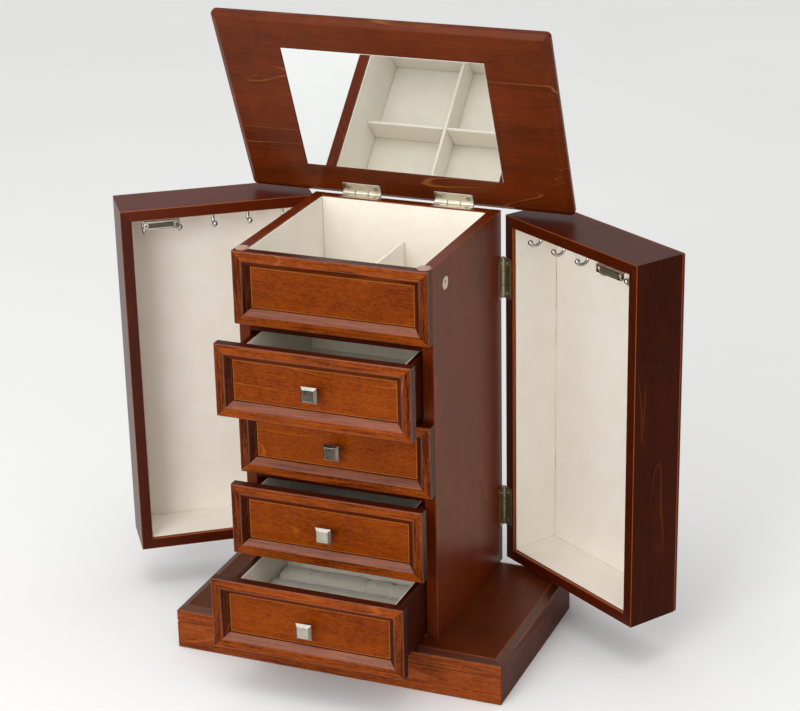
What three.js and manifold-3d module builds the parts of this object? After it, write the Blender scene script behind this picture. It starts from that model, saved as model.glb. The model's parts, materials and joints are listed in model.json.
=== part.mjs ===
// A countertop jewelry armoire: a moulded base, a narrow cabinet with a lidded compartment and four
// drawers, and a deep tray door on each flank with hooks for necklaces. It stands with its lid and
// doors open and its drawers partly pulled out. Millimetres, +X right, +Y back, +Z up. The origin is
// the centre of the base's underside.

import * as THREE from 'three';
import { mergeVertices } from 'three/addons/utils/BufferGeometryUtils.js';
import Module from 'manifold-3d';

const wasm = await Module();
wasm.setup();

// ---- Driving dimensions ----

const GAP = 0.3; // clearance between neighbouring pieces

const BASE = { halfWidth: 154, halfDepth: 94, height: 40, corner: 3 };
const BASE_GROOVE = { z: 25.4, height: 1.2, depth: 1.2 };
const BASE_BEVEL = { width: 7.2, height: 2.9 };
const BOTTOM_BOARD_HEIGHT = 3.5;

const BODY = { halfWidth: 88.6, front: -72, back: 94, top: 380, wall: 10 };
const SHELF = { aboveFront: 1.5, thickness: 9.5 };

const FRONT = { thickness: 9.5, height: 65.2, pitch: 68.2, firstZ: 42, drawers: 4 };
const FRONT_MOULD = { round: 0.8, flat: 8.5, bevelEnd: 14, bevelDepth: 4.7, lip: 0.5, rabbet: 11 };

const DRAWER = { wall: 5, floor: 3, halfWidth: 77.6, back: 81.7, bottom: 2, top: 56.7 };
const LINING = 0.8;
const DRAWER_PULL = [69.1, 22.8, 1.2, 41]; // how far each drawer stands open, lowest drawer first
const RING_DRAWER = { partitionY: 34.3, partition: 3, rolls: 4, rollHeight: 24 };

const KNOB = { neckRadius: 3.6, neckLength: 8.2, backHalf: 7.3, rim: 1, faceHalf: 5.4, slope: 4 };

const INSERT = { wall: 1, floor: 1.2, top: 379.4, dividerTop: 345.5, divider: 3.2, crossY: 6.5 };

const LID = { halfWidth: 154, depth: 190.5, rear: 101.2, underside: 382.4, thickness: 9, corner: 6 };
const LID_BEVEL = { width: 5, height: 3.1, topRound: 2 };
const LID_PIN = { y: 96.8, z: 381.2 };
const LID_OPEN = 67.8; // degrees from closed
const MIRROR = { halfWidth: 93.5, front: -57, rear: 70.4, recess: 3, inset: 0.7, thickness: 2 };

const DOOR = { rim: 90.2, depth: 53, front: -81.5, bottom: 42.5, top: 375.5, wall: 10, panel: 3 };
const DOOR_PIN = { x: 89.4, y: 96.5 };
const DOOR_OPEN = { left: 54.5, right: 57.3 }; // degrees from closed
const DOOR_LINING = { setback: 3, thickness: 1 };

const HINGE = { leaf: 10.5, thickness: 1, barrelRadius: 2.2, knuckles: 3, sides: 16 };
const LID_HINGE = { length: 37, x: 44, radius: 2, fixedZ: 379.1, movingZ: 381.3, movingThickness: 0.8 };
const DOOR_HINGE = { length: 38, heights: { upper: 317, lower: 95 } };

const HOOKS = { count: 5, firstY: -59.5, pitch: 32, stem: 20, tip: 8, wire: 1.6, ball: 2.5 };
const HOOK_LEVELS = { bend: 350.5, ball: 354.5 };
const HOOK_RAIL = { thickness: 1.2, halfWidth: 4, overhang: 6 };
const CATCH = { y: -45, halfLength: 16, depth: 5.3, bottom: 356.4, top: 363.8 };
const STRIKE = { radius: 6, thickness: 0.8, z: 359.6 };
const BUMPER = { x: 82, y: -73, radius: 5.8, thickness: 1.8 };

// ---- Finishes ----

const finish = (color, roughness, metalness = 0) =>
  new THREE.MeshStandardMaterial({ color, roughness, metalness });

const FINISH = {
  caseWood: () => finish(0x6b3520, 0.35),
  frameWood: () => finish(0x7d3c22, 0.35),
  panelWood: () => finish(0x8f4716, 0.35),
  drawerWood: () => finish(0x4a2013, 0.5),
  creamLining: () => finish(0xe5dccb, 0.95),
  drawerLining: () => finish(0xb9b7a6, 0.95),
  mirror: () => finish(0xe8ecec, 0.02, 1),
  nickel: () => finish(0xb9b19c, 0.3, 1),
  chrome: () => finish(0xd8d8d8, 0.1, 1),
  felt: () => finish(0xc99a86, 0.9),
};

// ---- Solids ----

function toSolid(geometry) {
  const bare = geometry.clone();
  bare.deleteAttribute('normal');
  bare.deleteAttribute('uv');
  const merged = mergeVertices(bare);
  const vertProperties = Float32Array.from(merged.attributes.position.array);
  const triVerts = Uint32Array.from(merged.index.array);
  return new wasm.Manifold(new wasm.Mesh({ numProp: 3, vertProperties, triVerts }));
}

function toGeometry(solid) {
  const { vertProperties, triVerts } = solid.getMesh();
  const geometry = new THREE.BufferGeometry();
  geometry.setAttribute('position', new THREE.BufferAttribute(vertProperties, 3));
  geometry.setIndex(new THREE.BufferAttribute(triVerts, 1));
  return geometry;
}

function join(...geometries) {
  return toGeometry(geometries.map(toSolid).reduce((sum, solid) => sum.add(solid)));
}

function cut(body, ...tools) {
  return toGeometry(tools.map(toSolid).reduce((rest, tool) => rest.subtract(tool), toSolid(body)));
}

function ordered(a, b) {
  return a < b ? [a, b] : [b, a];
}

// A rectangular board between two corners.
function board([x0, x1], [y0, y1], [z0, z1]) {
  const geometry = new THREE.BoxGeometry(x1 - x0, y1 - y0, z1 - z0);
  return geometry.translate((x0 + x1) / 2, (y0 + y1) / 2, (z0 + z1) / 2);
}

// A skin over equal rings of points: capped at both ends, or closed into a loop.
function loft(rings, closed) {
  const count = rings[0].length;
  const faces = [];
  const spans = closed ? rings.length : rings.length - 1;
  for (let i = 0; i < spans; i += 1) {
    const here = i * count;
    const there = ((i + 1) % rings.length) * count;
    for (let j = 0; j < count; j += 1) {
      const k = (j + 1) % count;
      faces.push([here + j, here + k, there + k], [here + j, there + k, there + j]);
    }
  }
  if (!closed) {
    const last = (rings.length - 1) * count;
    for (let j = 1; j < count - 1; j += 1) {
      faces.push([0, j + 1, j], [last, last + j, last + j + 1]);
    }
  }
  const points = rings.flat();
  const volume = faces.reduce((sum, [a, b, c]) => {
    const cross = new THREE.Vector3().crossVectors(points[b], points[c]);
    return sum + points[a].dot(cross);
  }, 0);
  const index = faces.flatMap(([a, b, c]) => (volume > 0 ? [a, b, c] : [a, c, b]));
  const geometry = new THREE.BufferGeometry().setFromPoints(points);
  return geometry.setIndex(index);
}

// A horizontal outline with rounded corners at one height.
function roundedRing(halfWidth, [y0, y1], radius, z) {
  const shape = new THREE.Shape();
  shape.absarc(halfWidth - radius, y1 - radius, radius, 0, Math.PI / 2);
  shape.absarc(-halfWidth + radius, y1 - radius, radius, Math.PI / 2, Math.PI);
  shape.absarc(-halfWidth + radius, y0 + radius, radius, Math.PI, Math.PI * 1.5);
  shape.absarc(halfWidth - radius, y0 + radius, radius, Math.PI * 1.5, Math.PI * 2);
  return shape.extractPoints(3).shape.map((p) => new THREE.Vector3(p.x, p.y, z));
}

// A slab whose outline shrinks by an inset at some heights, as moulded boards do.
function mouldedSlab(halfWidth, [y0, y1], corner, levels) {
  const rings = levels.map(([z, inset]) => {
    const radius = Math.max(corner - inset, 0.5);
    return roundedRing(halfWidth - inset, [y0 + inset, y1 - inset], radius, z);
  });
  return loft(rings, false);
}

// A rod of a regular section along one axis ('x', 'y' or 'z').
function rod(axis, radius, length, centre, sides = HINGE.sides) {
  const geometry = new THREE.CylinderGeometry(radius, radius, length, sides);
  if (axis === 'x') geometry.rotateZ(Math.PI / 2);
  if (axis === 'z') geometry.rotateX(Math.PI / 2);
  return geometry.translate(...centre);
}

// An open-topped shell inside given limits, with the opening facing along +Z.
function openBox([x0, x1], [y0, y1], [z0, z1], wall, floor) {
  const cavity = board([x0 + wall, x1 - wall], [y0 + wall, y1 - wall], [z0 + floor, z1 + wall]);
  return cut(board([x0, x1], [y0, y1], [z0, z1]), cavity);
}

// ---- Scene graph ----

const armoire = new THREE.Group();

function add(parent, name, geometry, material) {
  const mesh = new THREE.Mesh(geometry, material);
  mesh.name = name;
  parent.add(mesh);
}

// A group that turns about a pin. What is added to it is drawn in its closed place.
function hinged(pin, axis, degrees) {
  const turned = new THREE.Group();
  turned.position.copy(pin);
  turned.rotation[axis] = THREE.MathUtils.degToRad(degrees);
  const closedPlace = new THREE.Group();
  closedPlace.position.copy(pin).negate();
  turned.add(closedPlace);
  armoire.add(turned);
  return closedPlace;
}

// ---- Base and cabinet ----

function base() {
  const { z, height, depth } = BASE_GROOVE;
  const levels = [
    [0, 0],
    [z, 0],
    [z + height / 2, depth],
    [z + height, 0],
    [BASE.height - BASE_BEVEL.height, 0],
    [BASE.height, BASE_BEVEL.width],
  ];
  const moulded = mouldedSlab(BASE.halfWidth, [-BASE.halfDepth, BASE.halfDepth], BASE.corner, levels);
  const inside = BODY.halfWidth - BODY.wall - GAP;
  const bottomBoard = board(
    [-inside, inside],
    [BODY.front + GAP, BODY.back - BODY.wall - GAP],
    [BASE.height - 1, BASE.height + BOTTOM_BOARD_HEIGHT],
  );
  return join(moulded, bottomBoard);
}

// One flank of the cabinet, with a shallow mortise for the fixed leaf of each door hinge.
function sidePanel(side) {
  const panel = board(
    ordered(side * (BODY.halfWidth - BODY.wall), side * BODY.halfWidth),
    [BODY.front, BODY.back],
    [BASE.height + GAP, BODY.top],
  );
  return cut(panel, ...doorMortises(side));
}

function backPanel() {
  const inside = BODY.halfWidth - BODY.wall - GAP;
  const panel = board(
    [-inside, inside],
    [BODY.back - BODY.wall, BODY.back],
    [BASE.height + GAP, BODY.top],
  );
  return cut(panel, ...[-1, 1].map(lidMortise));
}

// A board across the cabinet under the front whose lower edge is at frontZ.
function shelf(frontZ) {
  const inside = BODY.halfWidth - BODY.wall - GAP;
  const top = frontZ + SHELF.aboveFront;
  return board(
    [-inside, inside],
    [BODY.front + GAP, BODY.back - BODY.wall - GAP],
    [top - SHELF.thickness, top],
  );
}

// The fabric-covered insert of the top compartment, with a cross of dividers.
function compartmentInsert(floorZ) {
  const halfWidth = BODY.halfWidth - BODY.wall - GAP;
  const front = BODY.front + GAP;
  const rear = BODY.back - BODY.wall - GAP;
  const bottom = floorZ + GAP;
  const tray = openBox(
    [-halfWidth, halfWidth],
    [front, rear],
    [bottom, INSERT.top],
    INSERT.wall,
    INSERT.floor,
  );
  const half = INSERT.divider / 2;
  const heights = [bottom + INSERT.floor / 2, INSERT.dividerTop];
  const inner = INSERT.wall / 2;
  const lengthwise = board([-half, half], [front + inner, rear - inner], heights);
  const crosswise = board(
    [-halfWidth + inner, halfWidth - inner],
    [INSERT.crossY - half, INSERT.crossY + half],
    heights,
  );
  return join(tray, lengthwise, crosswise);
}

// ---- Fronts and drawers ----

function frontCentreZ(frontZ) {
  return frontZ + FRONT.height / 2;
}

// A mitred frame: flat outside, then a bevel that slopes back to the panel, with a rabbet behind.
function frontFrame(frontZ) {
  const face = BODY.front - FRONT.thickness;
  const rear = BODY.front - GAP;
  const { round, flat, bevelEnd, bevelDepth, lip, rabbet } = FRONT_MOULD;
  const profile = [
    [0, rear - face],
    [0, round],
    [round, 0],
    [flat, 0],
    [bevelEnd, bevelDepth],
    [bevelEnd, bevelDepth + lip],
    [rabbet, bevelDepth + lip],
    [rabbet, rear - face],
  ];
  const corners = [[-1, -1], [1, -1], [1, 1], [-1, 1]];
  const rings = corners.map(([sx, sz]) => profile.map(([inset, depth]) => new THREE.Vector3(
    sx * (BODY.halfWidth - inset),
    face + depth,
    frontCentreZ(frontZ) + sz * (FRONT.height / 2 - inset),
  )));
  return loft(rings, true);
}

function frontPanelFace() {
  return BODY.front - FRONT.thickness + FRONT_MOULD.bevelDepth + FRONT_MOULD.lip + GAP;
}

function frontPanel(frontZ) {
  const inset = FRONT_MOULD.rabbet + GAP;
  return board(
    [-BODY.halfWidth + inset, BODY.halfWidth - inset],
    [frontPanelFace(), BODY.front - GAP],
    [frontZ + inset, frontZ + FRONT.height - inset],
  );
}

function drawerLimits(frontZ) {
  return [
    [-DRAWER.halfWidth, DRAWER.halfWidth],
    [BODY.front, DRAWER.back],
    [frontZ + DRAWER.bottom, frontZ + DRAWER.top],
  ];
}

function drawerBox(frontZ) {
  return openBox(...drawerLimits(frontZ), DRAWER.wall, DRAWER.floor);
}

// The inside of a drawer box, which its lining fills: [x], [y] and [z] limits.
function liningLimits(frontZ) {
  const [[x0, x1], [y0, y1], [z0, z1]] = drawerLimits(frontZ);
  const side = DRAWER.wall + GAP;
  return [[x0 + side, x1 - side], [y0 + side, y1 - side], [z0 + DRAWER.floor + GAP, z1 - GAP]];
}

// The lining of a drawer. The ring drawer's has a covered partition behind the rolls.
function drawerLining(frontZ, hasPartition) {
  const [x, y, z] = liningLimits(frontZ);
  const plain = openBox(x, y, z, LINING, LINING);
  if (!hasPartition) return plain;
  const inner = LINING / 2;
  const partition = board(
    [x[0] + inner, x[1] - inner],
    [RING_DRAWER.partitionY, RING_DRAWER.partitionY + RING_DRAWER.partition],
    [z[0] + inner, z[1]],
  );
  return join(plain, partition);
}

// A pad of soft rolls side by side. Rings stand in the grooves between them.
function ringCushion(frontZ) {
  const [[x0, x1], [y0], [z0]] = liningLimits(frontZ);
  const clear = LINING + GAP;
  const front = y0 + clear;
  const rear = RING_DRAWER.partitionY - GAP;
  const bottom = z0 + clear;
  const roll = (rear - front) / RING_DRAWER.rolls;
  const shoulder = bottom + RING_DRAWER.rollHeight - roll / 2;
  const shape = new THREE.Shape();
  shape.moveTo(front, bottom);
  shape.lineTo(rear, bottom);
  for (let i = RING_DRAWER.rolls; i > 0; i -= 1) {
    shape.absarc(front + roll * (i - 0.5), shoulder, roll / 2, 0, Math.PI);
  }
  const geometry = new THREE.ExtrudeGeometry(shape, {
    depth: x1 - x0 - 2 * clear,
    bevelEnabled: false,
    curveSegments: 4,
  });
  geometry.translate(0, 0, x0 + clear);
  const turn = new THREE.Matrix4().makeBasis(
    new THREE.Vector3(0, 1, 0),
    new THREE.Vector3(0, 0, 1),
    new THREE.Vector3(1, 0, 0),
  );
  return geometry.applyMatrix4(turn);
}

// A square knob: a round neck and a head that slopes in to a smaller square face.
function knob(frontZ) {
  const start = frontPanelFace() - GAP;
  const centreZ = frontCentreZ(frontZ);
  const back = start - KNOB.neckLength;
  const square = (half, y) => [[-1, -1], [1, -1], [1, 1], [-1, 1]].map(
    ([sx, sz]) => new THREE.Vector3(sx * half, y, centreZ + sz * half),
  );
  const head = loft([
    square(KNOB.backHalf, back),
    square(KNOB.backHalf, back - KNOB.rim),
    square(KNOB.faceHalf, back - KNOB.rim - KNOB.slope),
  ], false);
  const neckEnd = back - KNOB.rim / 2;
  const neck = rod('y', KNOB.neckRadius, start - neckEnd, [0, (start + neckEnd) / 2, centreZ]);
  return join(neck, head);
}

// ---- Hinges ----

// One leaf of a butt hinge with its knuckles, about a pin along Z through the origin. The leaf
// reaches towards -Y and lies between x0 and x1. Odd and even knuckles belong to different leaves.
function hingeLeaf(length, radius, [x0, x1], parity) {
  const pitch = length / HINGE.knuckles;
  const knuckles = Array.from({ length: HINGE.knuckles }, (_, i) => ({
    own: i % 2 === parity,
    centre: -length / 2 + pitch * (i + 0.5),
  }));
  const own = knuckles.filter((k) => k.own)
    .map((k) => rod('z', radius, pitch - GAP, [0, 0, k.centre]));
  const others = knuckles.filter((k) => !k.own)
    .map((k) => rod('z', radius + GAP, pitch + GAP, [0, 0, k.centre]));
  const leaf = board([x0, x1], [-HINGE.leaf, -GAP], [-length / 2, length / 2]);
  return cut(join(leaf, ...own), ...others);
}

function doorHingeLeaf(side, height, fixed) {
  const near = side * (fixed ? -GAP : GAP);
  const far = near + Math.sign(near) * HINGE.thickness;
  const parity = fixed ? 0 : 1;
  const leaf = hingeLeaf(DOOR_HINGE.length, HINGE.barrelRadius, ordered(near, far), parity);
  return leaf.translate(side * DOOR_PIN.x, DOOR_PIN.y, height);
}

// Shallow recesses around both sides' leaves, through the cabinet's flank and the door's rim.
function doorMortises(side) {
  const reach = GAP + HINGE.thickness + GAP;
  return Object.values(DOOR_HINGE.heights).map((z) => board(
    ordered(side * (DOOR_PIN.x - reach), side * (DOOR_PIN.x + reach)),
    [DOOR_PIN.y - HINGE.leaf - GAP, DOOR_PIN.y + HINGE.barrelRadius],
    [z - DOOR_HINGE.length / 2 - GAP, z + DOOR_HINGE.length / 2 + GAP],
  ));
}

function lidHingeLeaf(side, fixed) {
  const z0 = (fixed ? LID_HINGE.fixedZ : LID_HINGE.movingZ) - LID_PIN.z;
  const z1 = z0 + (fixed ? HINGE.thickness : LID_HINGE.movingThickness);
  const leaf = hingeLeaf(LID_HINGE.length, LID_HINGE.radius, [-z1, -z0], fixed ? 0 : 1);
  return leaf.rotateY(Math.PI / 2).translate(side * LID_HINGE.x, LID_PIN.y, LID_PIN.z);
}

function lidMortise(side) {
  const reach = LID_HINGE.length / 2 + GAP;
  return board(
    [side * LID_HINGE.x - reach, side * LID_HINGE.x + reach],
    [LID_PIN.y - HINGE.leaf - GAP, BODY.back + 1],
    [LID_HINGE.fixedZ - GAP, BODY.top + 1],
  );
}

// ---- Lid ----

function lidBoard() {
  const z = LID.underside;
  const levels = [
    [z, LID_BEVEL.width],
    [z + LID_BEVEL.height, 0],
    [z + LID.thickness - LID_BEVEL.topRound, 0],
    [z + LID.thickness, LID_BEVEL.topRound],
  ];
  const slab = mouldedSlab(LID.halfWidth, [LID.rear - LID.depth, LID.rear], LID.corner, levels);
  const recess = board(
    [-MIRROR.halfWidth, MIRROR.halfWidth],
    [MIRROR.front, MIRROR.rear],
    [z - 1, z + MIRROR.recess],
  );
  const barrelRelief = (side) => rod(
    'x',
    LID_HINGE.radius + 2 * GAP,
    LID_HINGE.length + 2 * GAP,
    [side * LID_HINGE.x, LID_PIN.y, LID_PIN.z],
  );
  return cut(slab, recess, barrelRelief(-1), barrelRelief(1));
}

function lidMirror() {
  const face = LID.underside + MIRROR.inset;
  return board(
    [-MIRROR.halfWidth + GAP, MIRROR.halfWidth - GAP],
    [MIRROR.front + GAP, MIRROR.rear - GAP],
    [face, face + MIRROR.thickness],
  );
}

// ---- Doors ----

// Limits across the door, from and to the given distances behind the rim plane.
function doorSpan(side, from, to) {
  return ordered(side * (DOOR.rim + from), side * (DOOR.rim + to));
}

function doorFrame(side) {
  const depth = DOOR.depth - DOOR.panel - GAP;
  const outside = board(
    doorSpan(side, 0, depth),
    [DOOR.front, BODY.back],
    [DOOR.bottom, DOOR.top],
  );
  const inside = board(
    doorSpan(side, -1, depth + 1),
    [DOOR.front + DOOR.wall, BODY.back - DOOR.wall],
    [DOOR.bottom + DOOR.wall, DOOR.top - DOOR.wall],
  );
  return cut(outside, inside, ...doorMortises(side));
}

function doorPanel(side) {
  return board(
    doorSpan(side, DOOR.depth - DOOR.panel, DOOR.depth),
    [DOOR.front, BODY.back],
    [DOOR.bottom, DOOR.top],
  );
}

// Limits of the door's lining along Y and Z.
const DOOR_LINING_Y = [DOOR.front + DOOR.wall + GAP, BODY.back - DOOR.wall - GAP];
const DOOR_LINING_Z = [DOOR.bottom + DOOR.wall + GAP, DOOR.top - DOOR.wall - GAP];

function doorLining(side) {
  const { setback, thickness } = DOOR_LINING;
  const rear = DOOR.depth - DOOR.panel - GAP;
  const [y0, y1] = DOOR_LINING_Y;
  const [z0, z1] = DOOR_LINING_Z;
  const tray = board(doorSpan(side, setback, rear), [y0, y1], [z0, z1]);
  const cavity = board(
    doorSpan(side, setback - 1, rear - thickness),
    [y0 + thickness, y1 - thickness],
    [z0 + thickness, z1 - thickness],
  );
  return cut(tray, cavity);
}

// A strip under the door's ceiling that carries a row of J-shaped hooks with ball tips.
function hookRail(side) {
  const ceiling = DOOR_LINING_Z[1] - DOOR_LINING.thickness - GAP;
  const lastY = HOOKS.firstY + HOOKS.pitch * (HOOKS.count - 1);
  const strip = board(
    doorSpan(side, HOOKS.stem - HOOK_RAIL.halfWidth, HOOKS.stem + HOOK_RAIL.halfWidth),
    [HOOKS.firstY - HOOK_RAIL.overhang, lastY + HOOK_RAIL.overhang],
    [ceiling - HOOK_RAIL.thickness, ceiling],
  );
  const hooks = Array.from({ length: HOOKS.count }, (_, i) => {
    const y = HOOKS.firstY + HOOKS.pitch * i;
    return hook(side, y, ceiling - HOOK_RAIL.thickness / 2);
  });
  return join(strip, ...hooks.flat());
}

// One hook as a wire and a ball: down from the strip, round a bend and up a little to the tip.
function hook(side, y, top) {
  const { stem, tip, wire, ball } = HOOKS;
  const at = (t, z) => new THREE.Vector3(side * (DOOR.rim + t), y, z);
  const bend = (stem - tip) / 2;
  const path = new THREE.CatmullRomCurve3([
    at(stem, top),
    at(stem, HOOK_LEVELS.bend + bend),
    at(stem - bend * 0.3, HOOK_LEVELS.bend + bend * 0.25),
    at(stem - bend, HOOK_LEVELS.bend),
    at(tip + bend * 0.3, HOOK_LEVELS.bend + bend * 0.25),
    at(tip, HOOK_LEVELS.ball),
  ]);
  const section = new THREE.Shape().absarc(0, 0, wire, 0, Math.PI * 2);
  const curved = new THREE.ExtrudeGeometry(section, {
    extrudePath: path,
    steps: 14,
    curveSegments: 4,
    bevelEnabled: false,
  });
  const tipBall = new THREE.SphereGeometry(ball, 10, 6).translate(...at(tip, HOOK_LEVELS.ball));
  return [curved, tipBall];
}

function magnetCatch(side) {
  return board(
    doorSpan(side, GAP, CATCH.depth),
    [CATCH.y - CATCH.halfLength, CATCH.y + CATCH.halfLength],
    [CATCH.bottom, CATCH.top],
  );
}

// ---- Small pads ----

function strikeDisc(side) {
  const x = side * (BODY.halfWidth + GAP + STRIKE.thickness / 2);
  return rod('x', STRIKE.radius, STRIKE.thickness, [x, CATCH.y, STRIKE.z], 24);
}

function lidBumper(side) {
  const z = BODY.top + GAP / 2 + BUMPER.thickness / 2;
  return rod('z', BUMPER.radius, BUMPER.thickness, [side * BUMPER.x, BUMPER.y, z], 24);
}

// ---- Assembly ----

const SIDES = [['left', -1], ['right', 1]];

function addCabinet() {
  add(armoire, 'base', base(), FINISH.caseWood());
  add(armoire, 'back_panel', backPanel(), FINISH.caseWood());
  for (let i = 1; i < FRONT.drawers; i += 1) {
    add(armoire, `drawer_shelf_${i}`, shelf(FRONT.firstZ + FRONT.pitch * i), FINISH.drawerWood());
  }
  const topFrontZ = FRONT.firstZ + FRONT.pitch * FRONT.drawers;
  add(armoire, 'compartment_floor', shelf(topFrontZ), FINISH.drawerWood());
  add(armoire, 'compartment_insert', compartmentInsert(topFrontZ + SHELF.aboveFront), FINISH.creamLining());
  add(armoire, 'top_front_frame', frontFrame(topFrontZ), FINISH.frameWood());
  add(armoire, 'top_front_panel', frontPanel(topFrontZ), FINISH.panelWood());
  for (const [name, side] of SIDES) {
    add(armoire, `${name}_side`, sidePanel(side), FINISH.caseWood());
    add(armoire, `${name}_strike_disc`, strikeDisc(side), FINISH.nickel());
    add(armoire, `${name}_lid_bumper`, lidBumper(side), FINISH.felt());
    add(armoire, `${name}_lid_hinge_fixed_leaf`, lidHingeLeaf(side, true), FINISH.nickel());
    for (const [level, z] of Object.entries(DOOR_HINGE.heights)) {
      const leafName = `${name}_door_${level}_hinge_fixed_leaf`;
      add(armoire, leafName, doorHingeLeaf(side, z, true), FINISH.nickel());
    }
  }
}

function addLid() {
  const lid = hinged(new THREE.Vector3(0, LID_PIN.y, LID_PIN.z), 'x', -LID_OPEN);
  add(lid, 'lid_board', lidBoard(), FINISH.caseWood());
  add(lid, 'lid_mirror', lidMirror(), FINISH.mirror());
  for (const [name, side] of SIDES) {
    add(lid, `${name}_lid_hinge_moving_leaf`, lidHingeLeaf(side, false), FINISH.nickel());
  }
}

function addDoors() {
  for (const [name, side] of SIDES) {
    const pin = new THREE.Vector3(side * DOOR_PIN.x, DOOR_PIN.y, 0);
    const door = hinged(pin, 'z', side * DOOR_OPEN[name]);
    add(door, `${name}_door_frame`, doorFrame(side), FINISH.caseWood());
    add(door, `${name}_door_panel`, doorPanel(side), FINISH.caseWood());
    add(door, `${name}_door_lining`, doorLining(side), FINISH.creamLining());
    add(door, `${name}_hook_rail`, hookRail(side), FINISH.chrome());
    add(door, `${name}_magnet_catch`, magnetCatch(side), FINISH.nickel());
    for (const [level, z] of Object.entries(DOOR_HINGE.heights)) {
      const leafName = `${name}_door_${level}_hinge_moving_leaf`;
      add(door, leafName, doorHingeLeaf(side, z, false), FINISH.nickel());
    }
  }
}

function addDrawers() {
  DRAWER_PULL.forEach((pull, i) => {
    const frontZ = FRONT.firstZ + FRONT.pitch * i;
    const name = `drawer_${FRONT.drawers - i}`;
    const holdsRings = i === 0;
    const drawer = new THREE.Group();
    drawer.position.y = -pull;
    add(drawer, `${name}_front_frame`, frontFrame(frontZ), FINISH.frameWood());
    add(drawer, `${name}_front_panel`, frontPanel(frontZ), FINISH.panelWood());
    add(drawer, `${name}_box`, drawerBox(frontZ), FINISH.drawerWood());
    add(drawer, `${name}_lining`, drawerLining(frontZ, holdsRings), FINISH.drawerLining());
    add(drawer, `${name}_knob`, knob(frontZ), FINISH.nickel());
    if (holdsRings) add(drawer, 'ring_cushion', ringCushion(frontZ), FINISH.drawerLining());
    armoire.add(drawer);
  });
}

addCabinet();
addLid();
addDoors();
addDrawers();

export default armoire;
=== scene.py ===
"""The looks of a jewelry armoire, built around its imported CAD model.

Every piece is drawn in its body's closed place, where boards are square to the axes, and is then
moved to where that body stands at rest. Lengths are metres: MM turns millimetres into metres.
"""

import json
import random
from math import copysign, cos, exp, pi, radians, sin, tan

import bmesh
import bpy
from mathutils import Matrix, Vector, noise

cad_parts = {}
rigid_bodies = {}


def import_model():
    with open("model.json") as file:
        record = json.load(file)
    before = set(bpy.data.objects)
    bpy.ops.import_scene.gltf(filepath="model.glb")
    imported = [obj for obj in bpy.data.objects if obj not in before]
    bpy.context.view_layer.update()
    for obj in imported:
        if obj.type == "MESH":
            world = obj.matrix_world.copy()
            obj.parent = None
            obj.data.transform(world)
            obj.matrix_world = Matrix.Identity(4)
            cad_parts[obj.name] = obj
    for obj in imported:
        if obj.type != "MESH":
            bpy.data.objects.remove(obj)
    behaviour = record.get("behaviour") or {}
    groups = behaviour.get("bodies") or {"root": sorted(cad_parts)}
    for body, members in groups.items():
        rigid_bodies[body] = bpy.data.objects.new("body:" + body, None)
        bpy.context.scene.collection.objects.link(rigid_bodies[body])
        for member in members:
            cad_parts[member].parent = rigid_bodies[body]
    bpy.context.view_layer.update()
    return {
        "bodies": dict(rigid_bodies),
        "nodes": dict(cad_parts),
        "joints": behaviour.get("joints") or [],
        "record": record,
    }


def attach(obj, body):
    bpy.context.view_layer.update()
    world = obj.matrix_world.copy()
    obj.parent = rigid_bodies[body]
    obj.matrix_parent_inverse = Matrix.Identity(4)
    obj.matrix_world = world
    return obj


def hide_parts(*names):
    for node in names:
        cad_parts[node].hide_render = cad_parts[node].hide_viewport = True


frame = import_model()

MM = 0.001
scene = bpy.context.scene
X, Y, Z = Vector((1, 0, 0)), Vector((0, 1, 0)), Vector((0, 0, 1))
SIDES = {"left": -1, "right": 1}
DRAWERS = [f"drawer_{number}" for number in (1, 2, 3, 4)]
chance = random.Random(7)


# ---- Places from the frame ----


def place_of(joint):
    """The move from a body's closed place to its place at rest."""
    axis = Vector(joint["axis"])
    if joint["type"] == "slide":
        return Matrix.Translation(axis * -joint["range_m"][0])
    pivot = Matrix.Translation(Vector(joint["pos_m"]))
    turn = Matrix.Rotation(radians(-joint["range_deg"][0]), 4, axis)
    return pivot @ turn @ pivot.inverted()


PLACES = {body: Matrix.Identity(4) for body in frame["bodies"]}
PLACES.update({joint["child"]: place_of(joint) for joint in frame["joints"]})
PINS = {j["child"]: Vector(j["pos_m"]) for j in frame["joints"] if j["type"] == "hinge"}
BODY_OF = {n: body for body, nodes in frame["record"]["behaviour"]["bodies"].items() for n in nodes}


def closed_box(node):
    """The lowest and highest corners of a CAD node in its body's closed place."""
    back = PLACES[BODY_OF[node]].inverted()
    spans = list(zip(*(back @ vertex.co for vertex in frame["nodes"][node].data.vertices)))
    return Vector(map(min, spans)), Vector(map(max, spans))


# ---- Materials ----


def srgb(code):
    """A linear colour from a web colour code."""
    channels = [int(code[i : i + 2], 16) / 255 for i in (0, 2, 4)]
    linear = [c / 12.92 if c <= 0.04045 else ((c + 0.055) / 1.055) ** 2.4 for c in channels]
    return (*linear, 1)


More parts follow.
